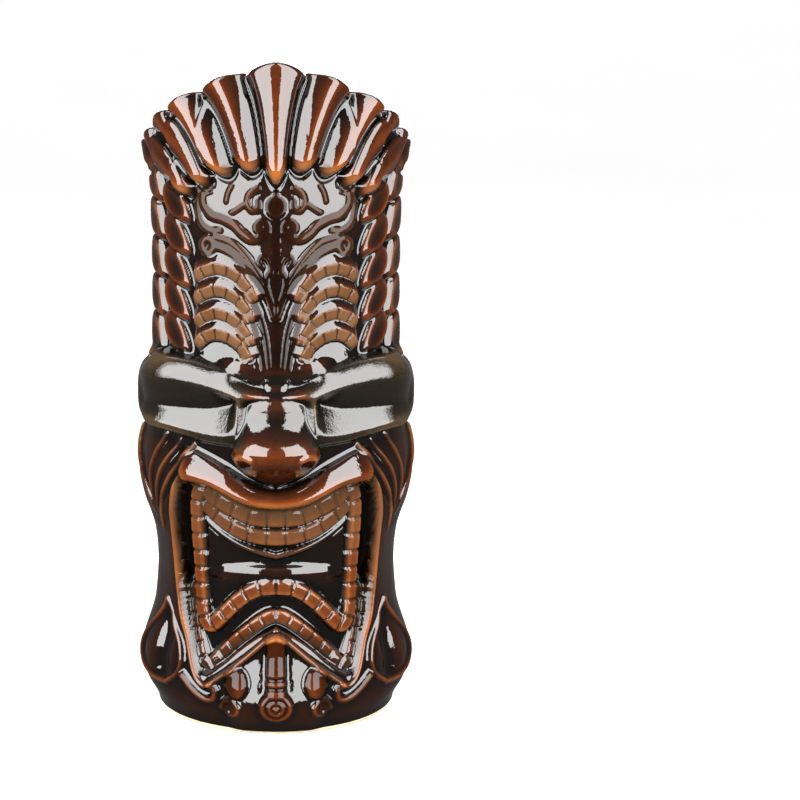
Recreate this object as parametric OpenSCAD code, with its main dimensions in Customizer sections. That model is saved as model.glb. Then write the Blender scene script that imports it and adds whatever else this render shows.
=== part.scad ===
// Tiki mug: a tall slip-cast drinking vessel with a carved face, a shell-like crest of
// feathers round its rim, and two columns of knobs down each side.
// Its three pieces are the clay casting, the brown glaze fused over the outside, and the
// glaze that lines the inside. The origin is at the centre of the foot, +Z is up and the
// face looks along -Y.

/* [Overall] */
// Height of the crest's tip above the table
overall_h = 200; // [180:1:220]
// Radius of the foot
foot_r = 37; // [33:0.5:41]
// How far the carving stands out, as a share of its normal depth
relief = 1; // [0.6:0.05:1.1]

/* [Crest] */
// How far the rim drops from the front tip to the back
rim_drop = 24; // [16:1:30]
// Depth of the scallop between two feathers at the rim
scallop = 2.4; // [1:0.1:3]
// Depth of the flute between two feathers
flute = 4.2; // [1:0.1:5]

/* [Inside] */
// Thickness of the floor, from the table to the inside
floor_t = 8; // [6:0.5:12]
// Smallest radius of the inside of the clay
bore_r = 32.2; // [30:0.1:33]
// How much wider the inside is behind the jaw, the cheeks and the rim
bore_swell = 1.6; // [0:0.1:2]

/* [Foot] */
// Depth of the hollow under the foot
foot_hollow = 2; // [1:0.5:3]
// Width of the flat ring that the mug stands on
foot_ring_w = 6; // [4:0.5:8]
// Height of the bare clay below the edge of the glaze
bare_h = 1.6; // [1:0.1:3]

/* [Glaze] */
// Thickness of the glaze on the outside
glaze_t = 0.6; // [0.3:0.1:0.8]
// Thickness of the glaze on the inside
liner_t = 0.5; // [0.3:0.1:0.8]

/* [Hidden] */

// Every height below is laid out for a mug 200 high on a foot of radius 37, then scaled.
layout_h = 200;
layout_foot_r = 37;
z_scale = overall_h / layout_h;
r_scale = foot_r / layout_foot_r;
// Radius on which distances across the face are laid out
face_r = 39;
// Radius of the ring of points that closes the top of the casting, inside its bore
top_ring_r = 24;
above_rim = 12;
// Lowest height of the rim, in a groove at the back
rim_low_z = overall_h - (rim_drop + scallop) * z_scale;
// Radius of the bore at the rim, and of the edge of the glaze there
rim_bore_r = bore_r + bore_swell;
rim_edge_r = rim_bore_r + 0.1;

// The plain body under the carving: [height, radius]
body_profile = [
    [0, 37], [4, 37.4], [10, 38.4], [20, 38.4], [32, 37.2], [46, 36.6], [60, 37],
    [80, 38], [100, 38.2], [110, 37.4], [116, 36], [150, 35.7], [168, 35.7], [182, 36.4],
    [200, 37]
];

// Grooves between the feathers: [angle from the front, count of feathers from the middle]
crest_side_angle = 82;
crest_side_count = 4.5;
crest_pitch = (180 - crest_side_angle) / crest_side_count;
crest_at_rim = [
    [0, 0], [11.5, 0.5], [32, 1.5], [50, 2.5], [66, 3.5], [crest_side_angle, crest_side_count],
    [180, 2 * crest_side_count]
];
crest_at_foot = [
    [0, 0], [4.5, 0.5], [15, 1.5], [27, 2.5], [38, 3.5], [56, crest_side_count],
    [crest_side_angle + crest_pitch, crest_side_count + 1], [180, 2 * crest_side_count]
];

// Columns: close together across the face, and three to a feather behind it.
face_columns = 46;
back_columns = 6 * crest_side_count;
columns = concat(
    [for (i = [0:face_columns - 1])
        crest_side_angle * (2 * i / face_columns - 1)],
    [for (i = [0:back_columns - 1])
        crest_side_angle + i * (360 - 2 * crest_side_angle) / back_columns]
);
column_count = face_columns + back_columns;
row_count = 40;

// 0 below lo, 1 above hi, and a smooth rise between them
function rise(lo, hi, x) =
    let (t = min(1, max(0, (x - lo) / (hi - lo)))) t * t * (3 - 2 * t);

// A smooth hump of height 1 that is 0 beyond half
function hump(x, half) = abs(x) < half ? (1 + cos(180 * x / half)) / 2 : 0;

// 1 between lo and hi with soft edges
function band(lo, hi, edge, x) =
    rise(lo - edge, lo + edge, x) * (1 - rise(hi - edge, hi + edge, x));

function sum(values, i = 0) =
    i < len(values) ? values[i] + sum(values, i + 1) : 0;

// The angle from the front, from 0 to 180
function from_front(a) = let (b = abs(a) % 360) b > 180 ? 360 - b : b;

// How far a column is from the middle of the face, as seen from the front
function across(a) = from_front(a) < 90 ? abs(face_r * sin(a)) : face_r;

// 1 at the middle of a feather and 0 in the groove beside it
function lobe(u) = sqrt(abs(cos(180 * (u - round(u)))));

// Height of the rim: an arch over the face that levels out behind it
function rim_z(a) =
    let (b = from_front(a), fall = rim_drop * sin(min(90, b * 0.86)) * min(1, 0.35 + b / 120))
    layout_h - fall + scallop * (lobe(lookup(b, crest_at_rim)) - 1);

// Edges that run across the face: each gives a height for a distance from the middle
function mouth_foot(x) = 31 - 15.5 * rise(0, 22, x);
function lip_low(x) = 70.5 + 6.5 * rise(6, 26, x);
function lip_top(x) = 77 + 9 * rise(6, 24, x);
function mask_low(x) = 90.5 + 3.5 * rise(22, 38, x);
function mask_top(x) = 110.5 + 4 * rise(10, 26, x);
function crest_foot(b) = 164.5 + 6 * hump(b - 18, 18) - 6 * rise(26, 60, b);

// The rows of points follow those edges, so that each edge is a clean line: [row, height]
function row_heights(a) =
    let (x = across(a), b = from_front(a))
    [
        [0, bare_h / z_scale],
        [3, mouth_foot(x) - 3],
        [4, mouth_foot(x)],
        [5, mouth_foot(x) + 3],
        [13, lip_low(x) - 1],
        [14, lip_low(x) + 1],
        [16, lip_top(x)],
        [18, mask_low(x) - 1.2],
        [19, mask_low(x) + 1.2],
        [23, mask_top(x) - 1.2],
        [24, mask_top(x) + 1.2],
        [34, crest_foot(b) - 1.2],
        [35, crest_foot(b) + 1.2],
        [row_count, rim_z(a)]
    ];

// Feathers of the crest, which overhang the forehead
function crest(b, z) =
    let (
        up = (z - crest_foot(b)) / (rim_z(b) - crest_foot(b)),
        u = lookup(b, crest_at_foot) * (1 - up) + lookup(b, crest_at_rim) * up
    )
    rise(-1.2, 1.2, z - crest_foot(b))
        * (0.6 + flute * lobe(u) * (0.65 + 0.35 * rise(-0.1, 1, up)) * (1 - 0.3 * rise(45, 80, b)));

// One knob of a side column
function knob(b, z, at_b, at_z, half_b, half_z, tall) =
    tall * sqrt(hump(b - at_b, half_b) * hump(z - at_z, half_z));

function knobs(b, z) =
    sum([for (i = [0:4]) knob(b, z, 54, 121 + 9.8 * i, 11, 6, 2.4)])
    + sum([for (i = [0:4]) knob(b, z, 76, 120 + 9.8 * i, 13, 6, 2.8)])
    + sum([for (i = [0:4]) knob(b, z, 101, 121 + 9.8 * i, 13, 6, 2.2)]);

// Slanting mask over the eyes, proud at its ends, with a hollow for each eye
function mask(b, x, z) =
    let (eye = band(mask_low(x) + 4.5, mask_top(x) - 5 - 2 * (1 - rise(8, 30, x)), 2, z))
    (1 - rise(96, 118, b)) * (
        band(mask_low(x), mask_top(x), 1.2, z) * (3.2 + 3.4 * hump(b - 57, 26))
        - 2.6 * eye * band(13, 33, 2.5, x)
    );

function nose(x, z) =
    7.5 * sqrt(max(0, 1 - pow(x / 12.5, 2))) * sqrt(hump(z - 88, 11))
    + 2 * hump(x, 8) * band(94, 106, 3, z);

// Wide smile of the upper lip, from cheek to cheek under the nose
function upper_lip(x, z) =
    4.2 * sqrt(hump(z - (lip_low(x) + lip_top(x)) / 2, (lip_top(x) - lip_low(x)) * 0.62))
        * (1 - rise(26, 32, x));

// The open mouth, hollow inside a raised rim, with two curved rows of teeth and a tongue
function mouth(x, z) =
    let (
        wide = 29.5 - 3.5 * rise(40, 15, z),
        up = z - mouth_foot(x),
        tall = band(mouth_foot(x) + 3, lip_low(x), 1.5, z),
        side = 1 - rise(wide - 5, wide - 1.5, x),
        rim = max(hump(x - wide, 4) * band(15, 76, 2, z), hump(up, 4.5) * (1 - rise(24, 27, x))),
        teeth = hump(z - lip_low(x) + 5, 4.5) + hump(up - 15, 5),
        tongue = hump(x, 18) * hump(z - 54, 5)
    )
    1.2 * band(14, 82, 4, z) * (1 - rise(30, 36, x))
        + 1.8 * rim
        + side * tall * (2.2 * teeth * (1 - rise(21, 25, x)) + 1.2 * tongue - 3.8);

// Swellings at the sides: jaw and cheek
function jaw(b, z) = 4.4 * hump(z - 17, 20) * sqrt(hump(b - 74, 44));
function cheek(b, z) = 4.8 * sqrt(hump(z - 78, 20)) * sqrt(hump(b - 76, 44));

// Carved chin: a swelling with a middle column between two round lobes
function chin(x, z) =
    2 * hump(z - 11, 14) * (1 - rise(16, 28, x))
    + 2.4 * hump(x, 6) * band(7, mouth_foot(x) - 4, 3, z) + 2.2 * hump(x - 12.5, 5.5) * hump(z - 15, 7);

// Radius of the clay at an angle and a height of the layout
function carved_r(a, z) =
    let (b = from_front(a), x = across(a), front = 1 - rise(80, 90, b))
    lookup(z, body_profile) + relief * (
        crest(b, z) + knobs(b, z) + mask(b, x, z) + jaw(b, z) + cheek(b, z)
        + front * (nose(x, z) + upper_lip(x, z) + mouth(x, z) + chin(x, z))
    );

// A point at angle a, radius r and height z
function at(a, r, z) = [r * sin(a), -r * cos(a), z];

// Height of a row in a column. The first row is the edge of the glaze.
function row_z(a, row) = lookup(row, row_heights(a));

// A ring of the carved surface, grown outwards and upwards by extra
function carved_ring(row, extra) =
    [for (a = columns)
        let (z = row_z(a, row), lift = row == row_count ? extra : 0)
        at(a, r_scale * carved_r(a, z) + extra, z_scale * z + lift)];

// A ring at one radius, at the height of the rim
function rim_ring(r, lift) = [for (a = columns) at(a, r, z_scale * rim_z(a) + lift)];

// Two triangles for each step round the columns, between ring i and ring k
function strip(i, k) =
    [for (j = [0:column_count - 1])
        let (
            n = (j + 1) % column_count,
            p = i * column_count,
            q = k * column_count
        )
        each [[p + j, q + j, q + n], [p + j, q + n, p + n]]];

function flatten(lists) = [for (l = lists) each l];

// Rings joined in order into one closed skin: wrapped round to the first, or capped at both ends
module skin_of(rings, wrapped) {
    n = len(rings);
    points = flatten(rings);
    walls = flatten([for (i = [0:n - 2]) strip(i, i + 1)]);
    foot_cap = [[for (j = [0:column_count - 1]) j]];
    top_cap = [[for (j = [0:column_count - 1]) n * column_count - 1 - j]];
    polyhedron(points, wrapped ? concat(walls, strip(n - 1, 0)) : concat(walls, foot_cap, top_cap));
}

// The casting with no hollow in it
module casting_outside() {
    foot = [for (a = columns) at(a, foot_r, 0)];
    top = [for (a = columns) at(a, top_ring_r, rim_low_z)];
    skin_of(concat([foot], [for (row = [0:row_count]) carved_ring(row, 0)], [top]), false);
}

// Half outline of the hollow, grown inwards by inset: [radius, height]
function bore_outline(inset) = [
    [0, floor_t + inset],
    [bore_r - 9, floor_t + inset],
    [bore_r - 3 - inset, floor_t + 2.5 + inset],
    [bore_r + bore_swell / 2 - inset, floor_t + 9],
    [bore_r + bore_swell - inset, 22 * z_scale],
    [bore_r - inset, 46 * z_scale],
    [bore_r + bore_swell - inset, 88 * z_scale],
    [bore_r - inset, 118 * z_scale],
    [bore_r - inset, 155 * z_scale],
    [rim_bore_r - inset, rim_low_z - 2],
    [rim_bore_r - inset, overall_h + above_rim],
    [0, overall_h + above_rim]
];

module hollow(inset) {
    rotate_extrude($fn = 120) polygon(bore_outline(inset));
}

// Everything above the rim, out to past the crest
module above_the_rim() {
    wide = foot_r * 1.6;
    skin_of([
        [for (a = columns) at(a, 2, rim_low_z)],
        [for (a = columns) at(a, bore_r - 4, z_scale * rim_z(a) + glaze_t)],
        [for (a = columns) at(a, wide, z_scale * rim_z(a) + glaze_t)],
        [for (a = columns) at(a, wide, overall_h + 2 * above_rim)]
    ], false);
}

module clay_body() {
    color("wheat")
    difference() {
        casting_outside();
        hollow(0);
        translate([0, 0, -1])
            cylinder(r = foot_r - foot_ring_w, h = foot_hollow + 1, $fn = 120);
    }
}

module outer_glaze() {
    color("saddlebrown")
    skin_of(concat(
        [for (row = [0:row_count]) carved_ring(row, glaze_t)],
        [rim_ring(rim_edge_r, glaze_t), rim_ring(rim_edge_r, 0)],
        [for (row = [row_count:-1:0]) carved_ring(row, 0)]
    ), true);
}

module liner_glaze() {
    color("sienna")
    difference() {
        hollow(0);
        hollow(liner_t);
        above_the_rim();
    }
}

clay_body();
outer_glaze();
liner_glaze();
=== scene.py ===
"""Looks for the tiki mug: a carved, glazed outside, a smooth glazed inside and a bare clay foot.

The carving is a height field round the body. It is laid out on the unrolled surface in
millimetres: s is the distance round from the middle of the face and z the height. Points are
given as (x, z), with x as seen from the front, and one half is carved and then mirrored.
"""

import math

import bpy
import numpy as np
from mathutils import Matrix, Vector


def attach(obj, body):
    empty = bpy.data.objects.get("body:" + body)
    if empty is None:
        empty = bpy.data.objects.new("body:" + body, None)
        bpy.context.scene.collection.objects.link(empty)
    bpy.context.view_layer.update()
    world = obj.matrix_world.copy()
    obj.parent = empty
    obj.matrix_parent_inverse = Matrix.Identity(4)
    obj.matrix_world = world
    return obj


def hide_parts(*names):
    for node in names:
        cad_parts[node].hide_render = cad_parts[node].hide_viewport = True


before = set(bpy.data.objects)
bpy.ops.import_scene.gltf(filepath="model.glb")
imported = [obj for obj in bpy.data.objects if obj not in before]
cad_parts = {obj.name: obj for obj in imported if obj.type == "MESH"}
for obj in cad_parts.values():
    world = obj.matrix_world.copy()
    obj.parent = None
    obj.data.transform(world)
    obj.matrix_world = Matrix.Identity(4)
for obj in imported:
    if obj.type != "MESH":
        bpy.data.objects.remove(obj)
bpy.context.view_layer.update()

MM = 0.001
# Sizes in mm: the radius that distances round the face are laid out on, the crest's tip, the
# lower edge and the thickness of the outside glaze, and the bore in the body and at the rim
FACE_R = 39.0
HEIGHT = 200.0
GLAZE_EDGE = 1.6
GLAZE_T = 0.6
BORE_R = 32.2
RIM_BORE_R = 33.8
# Height above which the rows of the grid follow the rim
CREST_ROWS_FROM = 148.0
# How far the knobs lean in degrees, and how deep the open mouth is
KNOB_TURN = 38
MOUTH_DEPTH = 3.2
# Height where the bore has widened to the rim's, then the height and the relief of the lip
BORE_TOP = 171
LIP_TALL = 1.5
LIP_RELIEF = 0.42

# ---------------------------------------------------------------- the grid of one half

front_columns = np.linspace(0.0, 96.0, 184)
back_columns = np.linspace(96.0, 180.0, 90)[1:]
half_angles = np.concatenate([front_columns, back_columns])
plain_rows = np.linspace(GLAZE_EDGE, CREST_ROWS_FROM, 400)
crest_rows = np.linspace(0.0, 1.0, 141)[1:]


def rise(lo, hi, x):
    """0 below lo, 1 above hi, and smooth between. With lo above hi it falls instead."""
    t = np.clip((x - lo) / (hi - lo), 0.0, 1.0)
    return t * t * (3 - 2 * t)


def hump(x, half):
    """A smooth hump of height 1 that is 0 beyond half."""
    return np.where(np.abs(x) < half, (1 + np.cos(np.pi * x / half)) / 2, 0.0)


def band(lo, hi, edge, x):
    """1 between lo and hi, with soft ends."""
    return rise(lo - edge, lo + edge, x) * (1 - rise(hi - edge, hi + edge, x))


def unroll(x):
    """Distance round the face of a point that is x from the middle as seen from the front."""
    return FACE_R * np.arcsin(np.clip(np.asarray(x, float) / FACE_R, -1, 1))


def table(x, pairs):
    """The value at x on straight lines between the pairs."""
    pairs = np.asarray(pairs, float)
    return np.interp(x, pairs[:, 0], pairs[:, 1])


# Grooves between the feathers: [angle from the front, feathers from the middle]
CREST_AT_RIM = [(0, 0), (12.5, 0.5), (33.5, 1.5), (50, 2.5), (66, 3.5), (82, 4.5), (180, 9)]
CREST_AT_FOOT = [(0, 0), (4.5, 0.5), (15, 1.5), (27, 2.5), (38, 3.5), (51, 4.5), (92, 5.5),
                 (180, 9)]


def lobe(u):
    """Round top of each feather: 1 at whole numbers and 0 in the grooves between."""
    return np.sqrt(np.abs(np.cos(np.pi * (u - np.round(u)))))


def rim_z(b):
    """Height of the rim at an angle from the front."""
    fall = 24 * np.sin(np.radians(np.minimum(90, b * 0.86))) * np.minimum(1, 0.35 + b / 120)
    return HEIGHT - fall + 2.4 * (lobe(table(b, CREST_AT_RIM)) - 1)


B = np.repeat(half_angles[None, :], len(plain_rows) + len(crest_rows), axis=0)
Z = np.empty_like(B)
Z[: len(plain_rows)] = plain_rows[:, None]
Z[len(plain_rows):] = (CREST_ROWS_FROM + (rim_z(half_angles)[None, :] - CREST_ROWS_FROM)
                       * crest_rows[:, None])
S = np.radians(B) * FACE_R
X = np.where(B < 90, FACE_R * np.sin(np.radians(B)), FACE_R + (S - FACE_R * np.pi / 2))

# ---------------------------------------------------------------- carving tools

# Distance given to points that no curve reaches
FAR = 99.0
# Usual spacing of the grid's rows and columns
ROW_STEP, COLUMN_STEP = 0.37, 0.36


def smooth(points, per=6):
    """A smooth curve through the points."""
    p = np.asarray(points, float)
    p = np.vstack([2 * p[0] - p[1], p, 2 * p[-1] - p[-2]])
    out = []
    for i in range(1, len(p) - 2):
        for t in np.linspace(0, 1, per, endpoint=False):
            a, b, c, d = p[i - 1], p[i], p[i + 1], p[i + 2]
            out.append(0.5 * (2 * b + (c - a) * t + (2 * a - 5 * b + 4 * c - d) * t * t
                              + (3 * b - a - 3 * c + d) * t ** 3))
    out.append(p[-2])
    return np.array(out)


def line(points, reach=6.0, per=6, sided=False):
    """Distance of each grid point from a curve, how far along it, and the curve's length, in mm.

    Points further than reach are left at FAR. With sided, also 1 on the curve's left and -1 on
    its right.
    """
    pts = np.asarray(points, float)
    pts = np.column_stack([unroll(pts[:, 0]), pts[:, 1]])
    c = smooth(pts, per) if len(pts) > 2 else pts
    lo, hi = c.min(0) - reach, c.max(0) + reach
    rows = np.where((Z.max(1) > lo[1]) & (Z.min(1) < hi[1]))[0]
    cols = np.where((S[0] > lo[0]) & (S[0] < hi[0]))[0]
    r, k = slice(rows[0], rows[-1] + 1), slice(cols[0], cols[-1] + 1)
    s, z = S[r, k], Z[r, k]
    best, where, above = np.full(s.shape, FAR), np.zeros(s.shape), np.zeros(s.shape)
    whole = 0.0
    for a, b in zip(c[:-1], c[1:]):
        step = b - a
        size = float(np.hypot(*step))
        if size < 1e-6:
            continue
        t = np.clip(((s - a[0]) * step[0] + (z - a[1]) * step[1]) / size ** 2, 0, 1)
        d = np.hypot(s - a[0] - t * step[0], z - a[1] - t * step[1])
        near = d < best
        best = np.where(near, d, best)
        where = np.where(near, whole + t * size, where)
        above = np.where(near, np.sign(step[0] * (z - a[1]) - step[1] * (s - a[0])), above)
        whole += size
    dist = np.full(B.shape, FAR)
    along, side_of = np.zeros(B.shape), np.zeros(B.shape)
    dist[r, k], along[r, k], side_of[r, k] = best, where, above
    return (dist, along, whole, side_of) if sided else (dist, along, whole)


def bead(dist, wide):
    """A round bead: 1 on the line and 0 at wide from it."""
    return np.sqrt(np.clip(1 - (dist / wide) ** 2, 0, 1))


def raise_to(h, shape, tall):
    """Adds a raised shape where nothing taller is there yet."""
    return np.maximum(h, shape * tall)


def rope(h, points, wide, tall, taper=None, per=6):
    """Adds a round bead along a curve. The taper is (shares of the length, shares of the width)."""
    d, run, whole = line(points, per=per)
    w = wide if taper is None else wide * np.interp(run / whole, taper[0], taper[1])
    return raise_to(h, bead(d, w), tall * (w / wide) ** 0.5)


def blocks(points, wide, pitch, cut=0.5, shift=0.0):
    """A row of rounded blocks along a curve, with a narrow cut between neighbours."""
    d, run, whole = line(points)
    count = max(1, round(whole / pitch))
    v = (run / whole * count + shift) % 1.0
    gap = np.minimum(v, 1 - v) * whole / count
    across_it = np.sqrt(np.clip(1 - (d / wide) ** 6, 0, 1))
    return across_it * (0.45 + 0.55 * np.clip(gap / (cut * 1.6), 0, 1) ** 0.6)


def spot(x, z, wide, tall=None):
    """1 at a point and 0 at the edge of an ellipse round it."""
    tall = wide if tall is None else tall
    return np.sqrt(np.clip(1 - ((S - unroll(x)) / wide) ** 2 - ((Z - z) / tall) ** 2, 0, 1))


def spiral(x, z, r, turns, start, way=1):
    """Points of a curl that winds in to (x, z)."""
    steps = int(10 * turns)
    return [(x + way * r * (1 - 0.8 * i / steps) * math.cos(math.radians(start + 36 * i)),
             z + r * (1 - 0.8 * i / steps) * math.sin(math.radians(start + 36 * i)))
            for i in range(steps + 1)]


def blur(h, mm):
    """Gaussian blur of the half grid, about mm wide, mirrored at its middle and back."""
    for axis, step in ((0, ROW_STEP), (1, COLUMN_STEP)):
        n = int(np.ceil(3 * mm / step))
        k = np.exp(-0.5 * (np.arange(-n, n + 1) * step / mm) ** 2)
        k /= k.sum()
        pad = [(n, n) if a == axis else (0, 0) for a in (0, 1)]
        src = np.pad(h, pad, mode="edge" if axis == 0 else "reflect")
        total = np.zeros_like(h)
        for i, w in enumerate(k):
            total += w * (src[i:i + h.shape[0], :] if axis == 0 else src[:, i:i + h.shape[1]])
        h = total
    return h


# ---------------------------------------------------------------- the plain body

# radius by height at the front, the side and the back
front_r = table(Z, [(0, 36.4), (3, 37.2), (6, 38.4), (9, 38.8), (14, 38.4), (20, 37.6), (28, 36.4),
                    (40, 36.0), (54, 36.4), (64, 37), (80, 38), (100, 38.2), (110, 37.4),
                    (116, 36.2), (130, 35.8), (150, 35.6), (168, 35.6), (182, 36.2), (200, 36.8)])
side_r = table(Z, [(0, 36.4), (3, 37), (6, 38.5), (8, 40), (11, 41.2), (14, 42), (18, 42), (22, 41.4),
                   (26, 40), (30, 38.6), (34, 37.6), (40, 37), (46, 36.6), (52, 36.8), (58, 37.6),
                   (62, 38.8), (66, 40.4), (70, 41.4), (74, 42.2), (80, 42.5), (85, 42), (89, 41),
                   (92, 39.6), (96, 38.8), (104, 38.4), (110, 37.0), (116, 35.0), (130, 34.7),
                   (150, 34.7), (168, 35.4), (182, 36.4), (200, 37)])
back_r = table(Z, [(0, 36.4), (4, 36.8), (10, 38), (18, 38.8), (30, 38), (44, 37.2), (58, 37.6),
                   (76, 39.4), (90, 39.4), (104, 38.4), (112, 37), (120, 36), (150, 35.8),
                   (168, 35.8), (200, 36.6)])
at_back = rise(94, 134, B)
at_side = rise(42, 74, B) * (1 - at_back)
body = blur(front_r + (side_r - front_r) * at_side + (back_r - front_r) * at_back, 1.2)

# ---------------------------------------------------------------- the crest

up = np.clip((Z - 162) / (rim_z(B) - 162), -0.3, 1)
u = (1 - up) * table(B, CREST_AT_FOOT) + up * table(B, CREST_AT_RIM)
feather = np.round(u)
foot_z = table(feather, [(0, 166), (1, 169.5), (2, 168.3), (3, 165.2), (4, 162.2), (5, 168.5),
                         (6, 160), (9, 158)])
across = (u - feather) * 2
inside = np.abs(across)
foot_z = foot_z + np.where(feather == 0, 5.5, 3.2) * inside ** 2
into = np.clip((Z - foot_z) / 3.4, 0, 1)
tip = np.sqrt(np.clip(1 - (1 - into) ** 2, 0, 1))
round_top = np.sqrt(np.clip(1 - (0.98 * inside) ** 2, 0, 1))
# feathers 1 to 4 are roofs: [feather, crown, inner slope, outer slope, radius of the crown]
roofs = np.array([(0, 0, 0, 0, 1), (1, 0.10, 0.46, 0.48, 0.7), (2, 0.12, 0.86, 0.20, 1.3),
                  (3, 0.0, 0.20, 0.50, 1.0), (4, 0.0, 0.25, 0.50, 1.0)])
crown_at, slope_in, slope_out, crown_r = (table(feather, roofs[:, (0, k)]) for k in (1, 2, 3, 4))
half_mm = 0.5 * np.gradient(S[0])[None, :] / np.gradient(u, axis=1)
off = (across - crown_at) * half_mm
roof = (3.6 + 2.0 * np.clip(up, 0, 1) + (slope_in - slope_out) / 2 * off
        - (slope_in + slope_out) / 2 * (np.hypot(off, crown_r) - crown_r))
roof = np.maximum(roof, 0.4)
for to_groove in (1 + across, 1 - across):
    roof = roof * np.sin(np.pi / 2 * np.clip(to_groove / 0.26, 0, 1)) ** 0.8
rounded = round_top * (3.5 + 2.6 * np.clip(up, 0, 1))
flute = np.where((feather == 0) | (feather > 4), rounded, roof) * (1 - 0.3 * rise(45, 80, B))
crest = blur(tip * (0.5 + flute), 0.4)

# ---------------------------------------------------------------- knobs down the sides


def knob(at_b, at_z, half_s, half_z, tall):
    """A petal that points up and out, with a thin edge round a hollow face."""
    ds, dz = S - math.radians(at_b) * FACE_R, Z - at_z
    c, n = math.cos(math.radians(KNOB_TURN)), math.sin(math.radians(KNOB_TURN))
    p = (ds * c + dz * n) / half_s
    q = (-ds * n + dz * c) / (half_z * (0.86 + 0.24 * np.clip(p, -1, 1)))
    r = np.sqrt(p ** 2 + q ** 2)
    shell = np.sqrt(np.clip(1 - r ** 3.4, 0, 1))
    hollow = np.clip(1 - ((p - 0.12) / 0.78) ** 2 - ((q - 0.05) / 0.78) ** 2, 0, 1)
    return np.where(r < 1, tall * (0.74 + 0.26 * p) * shell - 1.7 * hollow ** 0.9, 0)


knobs = np.zeros_like(B)
# columns: angle from the front, lowest height, pitch, half sizes and height
for at_b, low_z, pitch, half_s, half_z, tall in (
    (99, 124, 11.2, 8.2, 5.8, 3.4),
    (77, 119, 11.6, 8.8, 6.3, 4.8),
    (52.5, 121, 9.7, 8.6, 5.3, 4.0),
):
    for i in range(5):
        knobs = np.maximum(knobs, knob(at_b, low_z + pitch * i, half_s, half_z, tall))

# ---------------------------------------------------------------- the forehead

# stem, with curls under the crest and a flower half way down
panel = 0.5 * hump(X, 2.6) * band(111, 158, 2, Z)
panel = rope(panel, spiral(0, 159.8, 3.4, 2.0, 90), 1.1, 1.3)
panel = rope(panel, [(5.6, 165), (8.0, 163.6), (8.9, 161), (7.6, 158.8), (5.6, 159.2), (5.6, 161)],
             1.1, 1.2)
panel = rope(panel, spiral(4.6, 153.4, 2.6, 2.2, 250, -1), 0.95, 1.3)
panel = rope(panel, [(4.4, 150.4), (7.5, 150.2), (10.5, 151.8), (13.3, 154.4), (17.1, 156), (20.3, 157),
                     (22.8, 160), (22.6, 163.4), (20.6, 164.2)], 1.5, 1.3,
             ([0, 0.15, 0.8, 1], [0.7, 1, 1, 0.9]), per=5)
panel = rope(panel, [(17.6, 152.4), (20.6, 152.4), (23.4, 154.2), (24.6, 158.4), (24.4, 164)], 1.3, 1.1)
panel = rope(panel, [(10.2, 160.2), (12.6, 158.6), (14, 157.8)], 0.9, 0.8)
panel = rope(panel, [(15.6, 161), (15, 163.4), (13.8, 165.6)], 0.8, 0.8)
# flower
panel = rope(panel, [(1.2, 140), (2.4, 143.6), (4.4, 145.2), (5.4, 143.6), (4.4, 142.4)], 0.8, 1.1)
panel = rope(panel, [(0.6, 131), (2.2, 134.5), (3.0, 138.4), (1.0, 142)], 1.0, 1.0)
# leaf that sweeps up and out from the stem and ends in a curl with a hole
leaf_line = [(0.8, 127.5), (2.6, 133.3), (5.6, 138.8), (9.4, 143.6), (14.2, 147.6), (19, 149.2)]
d, run, whole = line(leaf_line)
w = np.interp(run / whole, [0, 0.5, 0.85, 1], [0.8, 2.0, 2.8, 2.4])
leaf = np.sqrt(np.clip(1 - (d / w) ** 4, 0, 1)) * 1.5 - 0.5 * hump(d, w * 0.7)
panel = np.maximum(panel, leaf)
curl = spot(21.4, 147.8, 3.3)
panel = raise_to(panel, np.sqrt(np.clip(1 - (1 - curl) ** 4, 0, 1)) * (curl > 0), 1.4)
leaf_hole = hump(np.hypot(S - unroll(21.3), Z - 148), 1.5)
# blades beside the stem under the leaf
for pts, wide in (
    ([(2.2, 113), (3.2, 121), (5.0, 127.5), (8.0, 134), (10.5, 137.5)], 1.1),
    ([(4.0, 112.5), (5.2, 119.5), (7.0, 125.5), (9.4, 130)], 0.9),
):
    panel = rope(panel, pts, wide, 1.1, ([0, 0.7, 1], [1, 1, 0.4]))
# four arched steps a side: a smooth ramp down to a face that is cut into blocks
block_half, block_pitch, ramp_long = 1.55, 4.4, 3.05
bands, under, ramps, block_face = (np.zeros_like(B) for _ in range(4))
for pts in (
    [(25.6, 138.0), (21.5, 140.6), (17.2, 141.2), (12.4, 139.4), (8.8, 135.8), (6.4, 131.6)],
    [(25.6, 131.2), (21.5, 134.0), (17.2, 134.8), (12.2, 132.6), (9.2, 129.2), (7.6, 125.6)],
    [(25.2, 124.2), (21.4, 127.2), (17.6, 128.0), (12.6, 126.2), (9.4, 122.6), (7.4, 118.8)],
    [(24.8, 118.0), (21.2, 121.2), (17.8, 122.0), (13.0, 120.4), (9.8, 117.2), (8.0, 114.0)],
):
    d, run, whole, left = line(pts, sided=True)
    q = -d * left
    ends = rise(0.0, 2.5, run) * (1 - rise(whole - 2.0, whole - 0.2, run))
    face = np.where(np.abs(q) <= block_half, 1.0 + 0.9 * (q + block_half) / (2 * block_half), 0)
    v = (run / block_pitch) % 1.0
    cut = 1 - 0.4 * hump(np.minimum(v, 1 - v) * block_pitch, 0.45)
    ramp_up = 1.9 * np.clip(1 - (q - block_half) / ramp_long, 0, 1) ** 0.9 * (q > block_half)
    on_face = (np.abs(q) <= block_half + 0.15) * ends * np.clip(2.5 * cut - 1.5, 0, 1)
    block_face = np.maximum(block_face, on_face)
    bands = np.maximum(bands, face * cut * (ends > 0.02))
    ramps = np.maximum(ramps, ramp_up * ends)
    under = np.maximum(under, hump(q + 2.2, 0.9) * ends)
strokes = panel
steps = np.maximum(bands, ramps)
panel = np.maximum((0.3 + 0.3 * rise(4, 9, X)) * strokes, steps)
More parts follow.
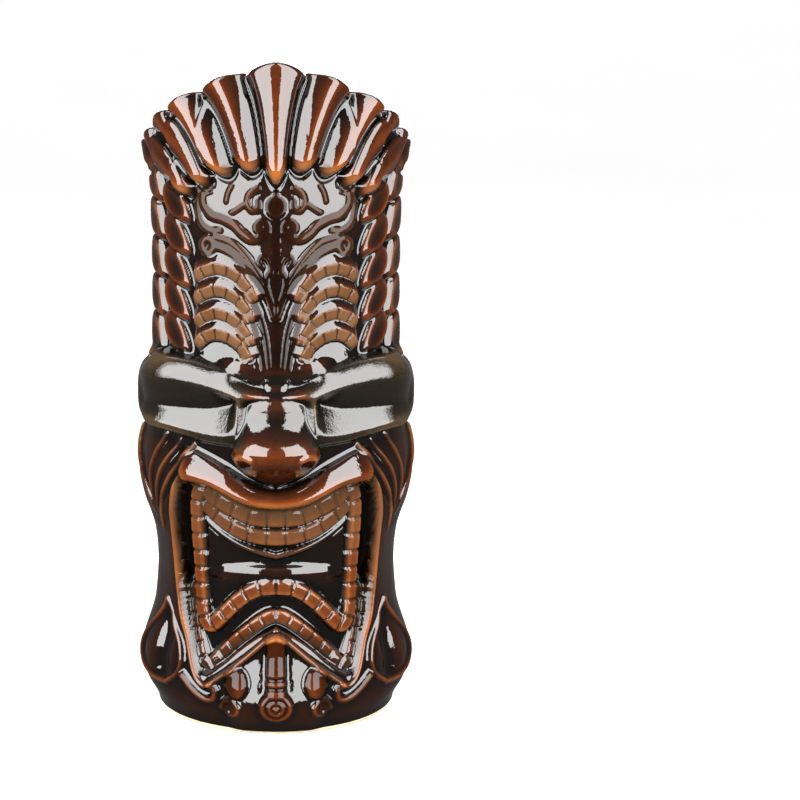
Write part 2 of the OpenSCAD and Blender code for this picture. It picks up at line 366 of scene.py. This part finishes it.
panel = panel - under * (steps < 0.4) - 1.2 * leaf_hole
# groove down each edge of the panel, and a bump over each eye that stands on the mask
edge_d, _, _ = line([(26.4, 164), (26.2, 150), (26.2, 130), (26, 113)])
panel = panel * (X < 27) - 1.3 * hump(edge_d, 2.3)
panel = np.maximum(panel, 1.9 * hump(np.hypot((S - unroll(11.8)) / 8.5, (Z - 112.8) / 4.4), 1))
face_up = 1 - rise(46, 52, B)
under_crest = hump(Z - (foot_z - 1.2), 1.6) * (Z < foot_z + 0.5)
clear = 1 - np.clip(tip * 1.2, 0, 1)
upper = band(108, 172, 2, Z) * (panel * face_up + knobs) * clear

# ---------------------------------------------------------------- the mask and the eyes


def across_z(points):
    """Height of an edge that runs across the face, as a smooth function of x."""
    p = np.asarray(points, float)
    c = smooth(np.column_stack([unroll(p[:, 0]), p[:, 1]]), 8)
    return np.interp(S, c[:, 0], c[:, 1])


mask_top = across_z([(0, 110.4), (6, 110.2), (13.3, 111.4), (20, 113), (25.8, 114.4), (32, 114.8),
                     (38, 114.6)])
eye_top = across_z([(0, 103), (9.8, 104.0), (16, 106.0), (22.5, 107.4), (30, 108.2), (38, 107.6)])
crease = across_z([(0, 101), (10.4, 102.6), (14, 101.2), (18, 100.0), (22, 99.4), (30, 99.3),
                   (36, 99.8), (38, 100.4)])
eye_low = across_z([(0, 95), (11, 94.0), (14, 92.9), (18, 92.6), (24, 93.4), (30, 95), (36, 97.4),
                    (38, 98.4)])
mask_low = across_z([(0, 90), (9, 89.6), (13.4, 90.0), (18, 90.3), (23, 91.0), (30, 92.4),
                     (38, 94.0)])

# plan of the mask: [angle from the front, radius]
mask_plan = smooth([(0, 41.0), (9, 41.8), (18, 41.9), (27, 41.5), (36, 42.0), (44, 43.4), (50, 44.8),
                    (56, 45.7), (62, 45.3), (70, 44), (80, 42.7), (90, 41.9), (100, 40.4),
                    (110, 38.8), (118, 38)])
mask_out = np.interp(B, mask_plan[:, 0], mask_plan[:, 1]) - body
# each eye is two flat faces that meet in a crease
eye_in = rise(10.2, 13.2, X) * (1 - rise(35.4, 37.4, X))
slope_up = np.clip((Z - crease) / (eye_top - crease), 0, 1)
slope_low = np.clip((crease - Z) / (crease - eye_low), 0, 1)
in_eye = (Z < eye_top) & (Z > eye_low)
deep = 0.56 * (crease - eye_low)
sunk = np.where(Z > crease, deep * (1 - slope_up ** 1.3), deep * (1 - slope_low ** 0.95)) * in_eye
# the brow rounds off above the eyes, softly towards the side
over = np.clip(Z - eye_top - 0.2 - 1.2 * rise(12, 34, X), 0, 20)
soft = 2.2 + 6.8 * rise(6, 15, X)
brow_fall = np.where(over < 0.6 * soft, over ** 2 / soft, 0.36 * soft + 1.2 * (over - 0.6 * soft))

mask_shape = np.maximum(mask_out - brow_fall, 0.6) - sunk * eye_in
mask_shape = mask_shape - 0.8 * (1 - rise(0, 3.2, Z - mask_low))
centre_dip = 1.4 * hump(X, 9) * band(103, 112, 3, Z)
mask_round = 1 - 0.75 * rise(56, 80, B) * np.clip(np.abs(Z - 101.5) / 11, 0, 1) ** 3
mask_on = rise(-0.9, 0.5, Z - mask_low) * (1 - rise(-0.6, 1.2, Z - mask_top))
mask_on = mask_on * (1 - rise(104, 118, B)) * mask_round
behind_nose = (1 - rise(7, 11, X)) * (1 - rise(101, 105, Z))
mask_h = mask_on * (mask_shape - centre_dip) * (1 - behind_nose)

# ---------------------------------------------------------------- nose

# half width and height of the nose by z
nose_w = table(Z, [(77.8, 0.1), (78.8, 4.0), (80, 6.4), (82, 9.2), (84, 11.2), (86, 12.2), (89, 12.5),
                   (92, 11.9), (95, 10.8), (98, 9.8), (101, 9.0), (103, 7.8), (104.5, 5.6),
                   (106, 3.0)])
nose_t = table(Z, [(77, 1.0), (79, 2.2), (81, 4.2), (83, 6.2), (85, 8.3), (86.6, 9.6), (88.5, 10.2),
                   (90, 9.9), (91.4, 8.9), (93, 7.2), (95, 5.2), (97.2, 3.5), (99.4, 3.2),
                   (101.6, 3.4), (103.2, 2.8), (105, 0.8)])
nose_w, nose_t = blur(nose_w, 0.7), blur(nose_t, 0.4)
nose = nose_t * np.sqrt(np.clip(1 - (X / np.maximum(nose_w, 0.1)) ** 2.2, 0, 1))
nose = nose * band(77.5, 107, 1.0, Z)
# a wing on each side, and a rolled edge round each nostril
nose = np.maximum(nose, 5.6 * spot(8.9, 88.0, 4.0, 4.4))
nostril = [(6.2, 86.6), (8.8, 87.6), (11.0, 85.8), (10.2, 82.8), (7.4, 81.6), (5.4, 83)]
ring_d, _, _ = line(nostril, reach=4)
nose = np.where(nose > 0, nose + 0.6 * bead(ring_d, 0.8) - 0.9 * spot(8.2, 84.4, 2.2, 1.8), nose)

# ---------------------------------------------------------------- lip and mouth

lip_top = across_z([(0, 76.6), (5, 77.4), (9.9, 79.9), (16, 83.6), (22.9, 86.8), (27, 88)])
lip_low = across_z([(0, 70.6), (5, 71.0), (9.9, 72.2), (15, 74.8), (18.7, 76.4), (24, 76.8),
                    (27.3, 76.6)])
# height of the upper lip, from its lower edge at 0 to its upper edge at 1
lip_rise = (Z - lip_low) / (lip_top - lip_low)
lip = table(lip_rise, [(-0.01, 0), (0, 0.4), (0.06, 2.3), (0.14, 3.6), (0.25, 4.4), (0.36, 4.6),
                       (0.5, 4.2), (0.7, 3.4), (0.9, 2.4), (1, 1.8), (1.06, 0)])
lip = blur(lip, 0.5) * (1 - rise(25, 29.5, X))

under_lid = 1.5 * np.clip((Z - lip_top) / np.maximum(mask_low - lip_top, 1), 0, 1)
under_lid = under_lid * (1 - rise(26, 32, X)) * (Z < mask_low + 2)
rim_line = [(27.4, 79.5), (29.2, 75.5), (30.4, 68), (30.6, 60), (30.4, 51.6), (29.7, 41), (28.4, 32),
            (26.6, 23.5), (24.6, 17.4), (22.4, 14.6), (20, 15.2), (13.6, 20.6), (9, 24.6),
            (5.3, 27.9), (2.6, 30.2), (0, 31.3)]
rim_d, _, _ = line(rim_line, reach=7)
# the inner row of blocks runs down the side and before the tongue, and the outer one below it
inner_row = [(23.2, 76), (24.6, 71), (24.8, 62), (24.4, 52), (24.4, 44), (24.0, 37.5), (22.6, 33.2),
             (20.6, 33.0), (16.4, 37.2), (12.4, 41.2), (7.6, 44.6), (3.6, 45.8), (0, 46)]
outer_row = [(28.2, 44), (27.4, 34), (25.8, 27), (23.6, 21.6), (21.4, 20.6), (16.4, 25.6),
             (11.2, 30.4), (5.6, 34.8), (2.4, 36.6), (0, 37)]
floor_line = smooth([(unroll(x), z) for x, z in ((0, 34), (5.3, 31.2), (11.2, 27), (16, 22.6),
                                                 (21, 18.4), (24, 18), (26, 22))])
mouth_floor = np.interp(S, floor_line[:, 0], floor_line[:, 1])
mouth_half = table(Z, [(14, 22.4), (17.4, 24.0), (23.5, 26.1), (32, 27.9), (41, 29.2), (52, 29.9),
                       (60, 30.1), (76, 28.8)])
mouth_in = rise(-0.7, 0.7, Z - mouth_floor) * (1 - rise(-0.9, 0.9, Z - lip_low))
mouth_in = mouth_in * (1 - rise(mouth_half - 0.8, mouth_half + 0.4, X))

upper_teeth = [(0, 67.4), (5.6, 67.6), (8.7, 68.2), (14.6, 70.7), (20, 73.6)]
lower_teeth = [(0, 61.2), (5.8, 61.6), (12.3, 63.4), (18.2, 66.8), (21, 69)]
gum = np.zeros_like(B)
gum = raise_to(gum, blocks(inner_row, 2.6, 5.2, 0.3), 2.7)
gum = raise_to(gum, blocks(outer_row, 2.3, 4.6, 0.26), 2.1)
gum = raise_to(gum, blocks(upper_teeth, 3.0, 6.0, 0.3, 0.5), 2.6)
gum = raise_to(gum, blocks(lower_teeth, 2.6, 5.6, 0.3, 0.5), 1.9)
teeth = np.clip(gum / 1.6, 0, 1)
palate_z = across_z([(0, 55.4), (8.8, 57.6), (15, 60.2), (20, 63.4), (23, 66)])
gum = raise_to(gum, bead(Z - palate_z, 1.2) * (X < 22.5), 1.2)
pad = rise(46.8, 49.0, Z) * (1 - rise(-1.5, 0.5, Z - palate_z))
pad = pad * rise(5, 20, X) * (1 - rise(21.5, 23, X))
tongue = table(Z, [(44, 0), (46, 0.6), (48, 1.7), (50, 1.9), (51.5, 1.5), (53, 0)])
tongue = tongue * (1 - rise(16, 21, X))
gum = raise_to(gum, pad, 1.2)
gum = raise_to(gum, tongue, 1.0)

gum = gum - 1.6 * rise(24.6, 28.4, X) * (1 - rise(44, 54, Z))
mouth = mouth_in * (gum - MOUTH_DEPTH) + 1.3 * bead(rim_d, 0.95) * (mouth_in < 0.5)
mouth = mouth + 0.35 * hump(rim_d, 2.4)
lift = 1.2 * band(30, 84, 6, Z) * (1 - rise(31, 37, X))

# ---------------------------------------------------------------- cheeks, jaw and chin

# cheek: long carved leaf under the end of the mask
cheeks = np.zeros_like(B)
for pts, wide, tall in (
    ([(24.2, 88.2), (28.4, 82.6), (31.6, 76), (33.6, 69), (34.2, 61)], 1.0, 1.2),
    ([(28.6, 89), (31.8, 83), (34.0, 76), (34.9, 68), (34.2, 61)], 0.9, 0.975),
    ([(32.6, 90), (34.6, 84), (35.8, 77), (35.8, 69), (34.4, 61)], 0.9, 0.9),
    ([(38.6, 90), (38.4, 82), (37.6, 74), (36.2, 66), (34.4, 60)], 1.1, 1.05),
):
    cheeks = rope(cheeks, pts, wide, tall, ([0, 0.8, 1], [1, 1, 0.5]))
leaf_in = np.clip((S - unroll(24 + 10 * rise(90, 62, Z))) / 2, 0, 1)
leaf_in = leaf_in * (1 - rise(unroll(37.4), unroll(38.8), S)) * band(61, 90, 2, Z)
cheeks = cheeks - 0.9 * leaf_in

# jaw: a leaf-shaped hollow inside a rolled edge
jaws = np.zeros_like(B)
for pts in (
    [(34.0, 38), (31.4, 30), (29.4, 22.5), (29.6, 16.4), (32.6, 12.2)],
    [(34.0, 38), (36.4, 31), (38.2, 24), (38.4, 17.5), (36.0, 12.6), (32.6, 12.2)],
):
    jaws = rope(jaws, pts, 0.9, 1.2)
jaw_d, _, _ = line([(33.8, 33), (34.0, 26), (34.2, 19), (34.0, 16.5)], reach=8)
jaws = jaws - 1.7 * hump(jaw_d, 5.6)

# chin: column with rings, a curl at its foot, two lobes and hooked curls
chin = rope(np.zeros_like(B), [(0, 29), (0, 22), (0, 13)], 3.2, 2.6)
for z in (18.6, 16.0):
    chin = chin - 0.9 * hump(Z - z, 0.8) * (X < 3.4)
chin = raise_to(chin, spot(0, 10.4, 5.0), 2.6)
curl_d, _, _ = line(spiral(0, 10.4, 3.9, 1.9, 100))
chin = chin - 0.9 * hump(curl_d, 0.9)
chin = raise_to(chin, spot(11.8, 16.6, 3.9, 4.8), 2.6)
hook = [(28.4, 15.6), (25.4, 12.6), (21.6, 10.4), (18.8, 10.8), (18.4, 13.4), (19.6, 14.6)]
chin = rope(chin, hook, 1.2, 1.5)
chin = rope(chin, spiral(13.2, 8.6, 3.0, 1.5, 0), 0.95, 1.1)
chin_parts = chin
# the chin itself swells under them
chin = (chin + 2.3 * hump(Z - 9.5, 17) * (1 - rise(9.5, 16, X))) * (1 - mouth_in)

# ---------------------------------------------------------------- hair down the back

hair_from, strand_count = 112, 6
strands = (B - hair_from) / (180 - hair_from) * strand_count + 0.22 * np.sin(Z / 15)
hair_on = rise(hair_from, hair_from + 10, B) * band(8, 156, 4, Z)
hair = hair_on * (0.9 * np.abs(np.cos(np.pi * strands)) ** 0.6 - 0.5)

# ---------------------------------------------------------------- all together

low_face = lift + under_lid + np.where(lip > 0.05, np.maximum(lip, mouth), mouth)
low_face = low_face * (1 - rise(78, 88, B))
height = body + crest + upper + mask_h + low_face * (1 - mask_on)
height = height + (jaws + chin) * (1 - rise(40, 44, Z)) * (1 - mouth_in)
height = height + cheeks * (1 - mask_on) * band(58, 92, 2, Z) + hair
height = height - 0.8 * under_crest * (B < 105)
height = np.where(nose > 0, np.maximum(height, body + lift + nose), height)
height = blur(height, 0.28)

# ---------------------------------------------------------------- what the glaze does on the carving

# relief: 0 in hollows, where the glaze pools, and 1 on edges
# thin: how far tan clay shows through; dull: loss of gloss; dark: the olive glaze of the mask
fine = height - blur(height, 0.8)
broad = height - blur(height, 2.6)
on_panel = clear * face_up * band(109, 170, 2, Z)
dull = 0.5 * np.clip(strokes * 2, 0, 1) * on_panel
off_middle = rise(3, 9, X)
thin = np.maximum(0.66 * block_face * on_panel, 0.16 * dull * off_middle)
thin = np.maximum(thin, np.clip(teeth * 2.4 - 1.4, 0, 1) * mouth_in * (0.10 + 0.24 * rise(50, 60, Z)))
thin = np.maximum(thin, 0.30 * bead(rim_d, 0.9) * band(15, 78, 2, Z))
edges = np.clip(fine * 2.4 - 0.3, 0, 1) * (0.18 + 0.27 * rise(22, 44, Z))
thin = np.maximum(thin, edges * (1 - np.clip(mask_on, 0, 1)) * (Z < 166))
thin = np.maximum(thin, 0.5 * np.clip(cheeks * 1.4, 0, 1) * (1 - mask_on))
feather_foot = band(0.3, 2.8, 1.0, Z - foot_z) * (Z > 158) * rise(0.9, 0.2, inside) * (B < 80)
thin = np.maximum(thin, 0.6 * feather_foot)
relief = 0.41 + 0.38 * fine + 0.18 * broad
relief = relief + 0.26 * (teeth - 0.6) * mouth_in + 0.10 * np.clip(knobs / 3, 0, 1)
relief = relief - (0.16 - 0.10 * off_middle) * dull
relief = relief - 0.30 * hump(rim_d, 3.8) * rise(30, 40, Z) - 0.07 * (1 - rise(20, 32, Z))
# the glaze is thin along the crown of each feather, so it is amber there
crown = (1 - rise(0.1, 0.6, np.abs(across - crown_at))) * (feather < 5)
crown = crown * np.clip(tip * 1.4 - 0.4, 0, 1)
relief = np.clip(relief + 0.10 * crown, 0, 1)
dull = np.maximum(np.maximum(dull, thin), 0.45 * mouth_in * rise(24.8, 26.5, X))
dull = np.maximum(dull, 0.40 * np.clip(chin_parts / 1.4, 0, 1) * (1 - mouth_in))
dark = np.clip(mask_on * (1 - 0.75 * rise(9.5, 7.0, X)), 0, 1)
height = height + GLAZE_T

# ---------------------------------------------------------------- meshes


def mesh_object(name, verts, faces):
    """A smooth-shaded piece from its points in mm and its four-sided faces."""
    mesh = bpy.data.meshes.new(name)
    mesh.vertices.add(len(verts))
    mesh.vertices.foreach_set("co", (np.asarray(verts) * MM).astype(np.float32).ravel())
    mesh.loops.add(faces.size)
    mesh.loops.foreach_set("vertex_index", faces.astype(np.int32).ravel())
    mesh.polygons.add(len(faces))
    mesh.polygons.foreach_set("loop_start", np.arange(0, faces.size, 4, dtype=np.int32))
    mesh.polygons.foreach_set("use_smooth", np.full(len(faces), True))
    mesh.update(calc_edges=True)
    mesh.validate()
    obj = bpy.data.objects.new(name, mesh)
    bpy.context.collection.objects.link(obj)
    return obj


def point_attribute(obj, name, values):
    """One number for each point, for the materials to read."""
    layer = obj.data.attributes.new(name, "FLOAT", "POINT")
    layer.data.foreach_set("value", np.asarray(values, np.float32).ravel())


def mirror(half):
    """The full ring of columns from one half: from the front round +X to the back and on."""
    return np.concatenate([half, half[:, -2:0:-1]], axis=1)


full_b = np.concatenate([half_angles, 360 - half_angles[-2:0:-1]])
columns = len(full_b)
rad = np.radians(full_b)
sin_b, cos_b = np.sin(rad)[None, :], np.cos(rad)[None, :]


def ring(r, z):
    """Points round the mug at radius r and height z, one for each column."""
    r = np.broadcast_to(r, (1, columns))
    z = np.broadcast_to(z, (1, columns))
    return np.stack([r * sin_b, -r * cos_b, z], axis=-1).reshape(-1, 3)


def quads(rows, n):
    """Faces between closed rows of n points, facing outwards if the rows go upwards."""
    i = np.arange(rows - 1)[:, None] * n
    j = np.arange(n)[None, :]
    k = (j + 1) % n
    return np.stack([i + j, i + k, i + n + k, i + n + j], axis=-1).reshape(-1, 4)


# outside glaze: the carving, then the lip
outer_r, outer_z = mirror(height), mirror(Z)
rim_r, rim_h = outer_r[-1:], outer_z[-1:]
lip_r = RIM_BORE_R + 0.1
rows = [np.stack([outer_r * sin_b, -outer_r * cos_b, outer_z], axis=-1).reshape(-1, 3)]
paint = {name: [mirror(half).ravel()] for name, half in
         (("relief", relief), ("dark", dark), ("thin", thin), ("dull", dull))}
# the glaze rolls over the rim on a half round and comes down inside
for a in np.linspace(0, math.pi, 15)[1:]:
    inward = (1 - math.cos(a)) / 2 * (rim_r - lip_r)
    rows.append(ring(rim_r - inward, rim_h + LIP_TALL * abs(math.sin(a)) ** 0.7))
    paint["relief"].append(np.full(columns, LIP_RELIEF + 0.2 * math.sin(a)))
for below in (1.0, 2.5, 4.0):
    rows.append(ring(lip_r, rim_h - below))
    paint["relief"].append(np.full(columns, LIP_RELIEF))
for name in ("dark", "thin", "dull"):
    paint[name].append(np.zeros(columns * (len(rows) - 1)))
skin = np.vstack(rows)
outside = mesh_object("glaze_outside", skin, quads(len(skin) // columns, columns))
for name, values in paint.items():
    point_attribute(outside, name, np.concatenate(values))

# inside glaze: [radius, height] from the middle of the floor up the bore, then up to the rim
waist_r, swell_r, top_r = BORE_R - 0.5, BORE_R + 1.1, RIM_BORE_R - 0.4
bore = smooth([(0.05, 8.5), (12, 8.5), (21, 8.6), (26.6, 9.6), (30.4, 13), (32.6, 18),
               (swell_r, 22), (waist_r, 46), (swell_r, 88), (waist_r, 118), (waist_r, 155),
               (top_r, BORE_TOP)], 5)
inside_rows = [ring(r, z) for r, z in bore]
for share in (0.25, 0.5, 0.75, 1.0):
    inside_rows.append(ring(top_r, BORE_TOP + (rim_h - 1.0 - BORE_TOP) * share))
inside_faces = quads(len(inside_rows), columns)[:, ::-1]
inside_obj = mesh_object("glaze_inside", np.vstack(inside_rows), inside_faces)

# clay: the bare band above the table, the ring it stands on and the hollow under it
foot = [(0.05, 2.0), (22, 2.0), (29.4, 2.0), (30.6, 1.7), (31.2, 0.6), (31.8, 0.1), (33, 0),
        (35.6, 0), (36.6, 0.25), (37.0, 0.9), (37.3, 1.7), (36.9, 2.6)]
foot_rows = np.vstack([ring(r, z) for r, z in foot])
clay = mesh_object("clay_foot", foot_rows, quads(len(foot), columns))

# ---------------------------------------------------------------- materials


def material(name):
    """A material with one shader, its nodes and links, and the shader."""
    m = bpy.data.materials.new(name)
    m.use_nodes = True
    nodes, links = m.node_tree.nodes, m.node_tree.links
    nodes.clear()
    bsdf = nodes.new("ShaderNodeBsdfPrincipled")
    output = nodes.new("ShaderNodeOutputMaterial")
    links.new(bsdf.outputs["BSDF"], output.inputs["Surface"])
    return m, nodes, links, bsdf


def noise(nodes, links, scale, detail=4.0, rough=0.5, stretch=(1, 1, 1)):
    """Noise that is fixed to the object. The scale is per metre."""
    where = nodes.new("ShaderNodeTexCoord")
    mapping = nodes.new("ShaderNodeMapping")
    mapping.inputs["Scale"].default_value = stretch
    n = nodes.new("ShaderNodeTexNoise")
    n.inputs["Scale"].default_value = scale
    n.inputs["Detail"].default_value = detail
    n.inputs["Roughness"].default_value = rough
    links.new(where.outputs["Object"], mapping.inputs["Vector"])
    links.new(mapping.outputs["Vector"], n.inputs["Vector"])
    return n.outputs["Fac"]


def ramp(nodes, links, source, stops):
    """Colours by value: [value, colour]."""
    r = nodes.new("ShaderNodeValToRGB")
    while len(r.color_ramp.elements) < len(stops):
        r.color_ramp.elements.new(0.5)
    for e, (at, colour) in zip(r.color_ramp.elements, stops):
        e.position = at
        e.color = (*colour, 1)
    links.new(source, r.inputs["Fac"])
    return r.outputs["Color"]


def add(nodes, links, a, b, scale):
    """a + b * scale"""
    m = nodes.new("ShaderNodeMath")
    m.operation = "MULTIPLY_ADD"
    links.new(b, m.inputs[0])
    m.inputs[1].default_value = scale
    links.new(a, m.inputs[2])
    return m.outputs["Value"]


def attribute(nodes, name):
    a = nodes.new("ShaderNodeAttribute")
    a.attribute_name = name
    return a.outputs["Fac"]


def bump(nodes, links, bsdf, source, strength, distance, socket="Normal"):
    b = nodes.new("ShaderNodeBump")
    b.inputs["Strength"].default_value = strength
    b.inputs["Distance"].default_value = distance
    links.new(source, b.inputs["Height"])
    links.new(b.outputs["Normal"], bsdf.inputs[socket])


# Glaze by relief, from pools to edges
BROWN = [
    (0.00, (0.0006, 0.0005, 0.0004)),
    (0.30, (0.0022, 0.0009, 0.0005)),
    (0.46, (0.0095, 0.0023, 0.0007)),
    (0.58, (0.0200, 0.0040, 0.0008)),
    (0.76, (0.0600, 0.0125, 0.0014)),
    (1.00, (0.1450, 0.0380, 0.0042)),
]

glaze, nodes, links, bsdf = material("brown_glaze")
flow = noise(nodes, links, 90, 5, 0.6, (1, 1, 0.45))
speck = noise(nodes, links, 900, 3, 0.6)
level = add(nodes, links, attribute(nodes, "relief"), flow, 0.22)
level = add(nodes, links, level, speck, 0.10)
# the two noises add 0.16 on average, which comes off again
shift = nodes.new("ShaderNodeMath")
shift.operation = "SUBTRACT"
shift.inputs[1].default_value = 0.16
links.new(level, shift.inputs[0])
colour = ramp(nodes, links, shift.outputs["Value"], BROWN)
olive = ramp(nodes, links, add(nodes, links, attribute(nodes, "relief"), speck, 0.35),
             [(0.45, (0.0025, 0.0020, 0.0014)), (0.72, (0.0060, 0.0042, 0.0025)),
              (1.0, (0.026, 0.016, 0.008))])
mix = nodes.new("ShaderNodeMix")
mix.data_type = "RGBA"
links.new(attribute(nodes, "dark"), mix.inputs["Factor"])
links.new(colour, mix.inputs["A"])
links.new(olive, mix.inputs["B"])
tan = ramp(nodes, links, flow, [(0.35, (0.070, 0.031, 0.012)), (0.65, (0.098, 0.050, 0.024))])
tan_mix = nodes.new("ShaderNodeMix")
tan_mix.data_type = "RGBA"
links.new(attribute(nodes, "thin"), tan_mix.inputs["Factor"])
links.new(mix.outputs["Result"], tan_mix.inputs["A"])
links.new(tan, tan_mix.inputs["B"])
links.new(tan_mix.outputs["Result"], bsdf.inputs["Base Color"])
bsdf.inputs["Roughness"].default_value = 0.5
bsdf.inputs["Specular IOR Level"].default_value = 0.0
gloss = ramp(nodes, links, attribute(nodes, "dull"),
             [(0.05, (1, 1, 1)), (0.45, (0.28, 0.28, 0.28))])
links.new(gloss, bsdf.inputs["Coat Weight"])
bsdf.inputs["Coat Roughness"].default_value = 0.03
bsdf.inputs["Coat IOR"].default_value = 1.56
ripple = noise(nodes, links, 240, 3, 0.5)
pits = nodes.new("ShaderNodeMath")
pits.operation = "MULTIPLY"
links.new(noise(nodes, links, 1500, 3, 0.6), pits.inputs[0])
links.new(attribute(nodes, "dark"), pits.inputs[1])
surface = add(nodes, links, ripple, pits.outputs["Value"], 0.6)
for socket in ("Normal", "Coat Normal"):
    bump(nodes, links, bsdf, surface, 0.18, 0.0006, socket)

inner, nodes, links, bsdf = material("inner_glaze")
colour = ramp(nodes, links, noise(nodes, links, 60, 5, 0.6, (1, 1, 0.4)),
              [(0.30, (0.008, 0.003, 0.002)), (0.55, (0.030, 0.008, 0.003)),
               (0.80, (0.085, 0.022, 0.006))])
links.new(colour, bsdf.inputs["Base Color"])
bsdf.inputs["Roughness"].default_value = 0.09
bsdf.inputs["IOR"].default_value = 1.55
bump(nodes, links, bsdf, noise(nodes, links, 180, 3, 0.5), 0.12, 0.0006)

bare, nodes, links, bsdf = material("bare_clay")
colour = ramp(nodes, links, noise(nodes, links, 320, 6, 0.65),
              [(0.30, (0.36, 0.27, 0.17)), (0.55, (0.46, 0.36, 0.24)), (0.75, (0.54, 0.45, 0.33))])
links.new(colour, bsdf.inputs["Base Color"])
bsdf.inputs["Roughness"].default_value = 0.85
bump(nodes, links, bsdf, noise(nodes, links, 1400, 6, 0.7), 0.5, 0.0004)

for piece, look, node, slot in (
    (outside, glaze, "outer_glaze", "outer_glaze"),
    (inside_obj, inner, "liner_glaze", "liner_glaze"),
    (clay, bare, "clay_body", "clay"),
):
    piece.data.materials.append(look)
    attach(piece, "root")
    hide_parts(node)

# ---------------------------------------------------------------- floor, lights and camera

floor_mat, nodes, links, bsdf = material("pale_floor")
colour = ramp(nodes, links, noise(nodes, links, 3, 3, 0.5),
              [(0.3, (0.29, 0.29, 0.29)), (0.7, (0.31, 0.31, 0.31))])
links.new(colour, bsdf.inputs["Base Color"])
bsdf.inputs["Emission Color"].default_value = (1, 1, 1, 1)
bsdf.inputs["Emission Strength"].default_value = 0.80
bsdf.inputs["Roughness"].default_value = 0.7
# the floor runs out in metres and curves up all round: [radius, height]
profile = [(0.01, 0), (0.5, 0), (1.6, 0), (2.2, 0.04), (2.8, 0.2), (3.2, 0.55), (3.4, 1.1), (3.45, 2.0)]
around = np.radians(np.arange(0, 360, 5))
floor_rows = [np.column_stack([r * np.sin(around), -r * np.cos(around), np.full(len(around), z)])
              for r, z in profile]
floor_faces = quads(len(profile), len(around))[:, ::-1]
floor = mesh_object("floor", np.vstack(floor_rows) / MM, floor_faces)
floor.data.materials.append(floor_mat)
floor.visible_glossy = False

world = bpy.data.worlds.new("studio")
bpy.context.scene.world = world
world.use_nodes = True
world.node_tree.nodes["Background"].inputs["Color"].default_value = (1, 1, 1, 1)
world.node_tree.nodes["Background"].inputs["Strength"].default_value = 0.15


def softbox(name, at, aim, wide, tall, power):
    """A rectangular light in metres and watts that the camera doesn't see."""
    data = bpy.data.lights.new(name, "AREA")
    data.shape = "RECTANGLE"
    data.size, data.size_y = wide, tall
    data.energy = power
    obj = bpy.data.objects.new(name, data)
    obj.location = at
    obj.rotation_euler = (Vector(aim) - Vector(at)).to_track_quat("-Z", "Y").to_euler()
    obj.visible_camera = False
    bpy.context.collection.objects.link(obj)


softbox("left_softbox", (-0.341, -0.366, 0.50), (0, 0, 0.50), 0.53, 1.0, 19)
softbox("right_softbox", (0.325, -0.380, 0.50), (0, 0, 0.50), 0.49, 1.0, 17)
softbox("top_softbox", (0.0, 0.45, 1.1), (0, 0, 0.1), 0.7, 0.7, 4)
softbox("back_softbox", (0.0, 0.36, 0.47), (0, 0, 0.47), 0.16, 0.9, 4)

camera = bpy.data.objects.new("camera", bpy.data.cameras.new("camera"))
bpy.context.collection.objects.link(camera)
camera.location = (0, -0.600, 0.205)
to_aim = Vector((0, 0, 0.0964)) - camera.location
camera.rotation_euler = to_aim.to_track_quat("-Z", "Y").to_euler()
camera.data.lens = 87.7
camera.data.sensor_width = 36
camera.data.shift_x = 0.155
camera.data.clip_start = 0.01
bpy.context.scene.camera = camera
bpy.context.scene.view_settings.view_transform = "Standard"

bpy.context.view_layer.update()
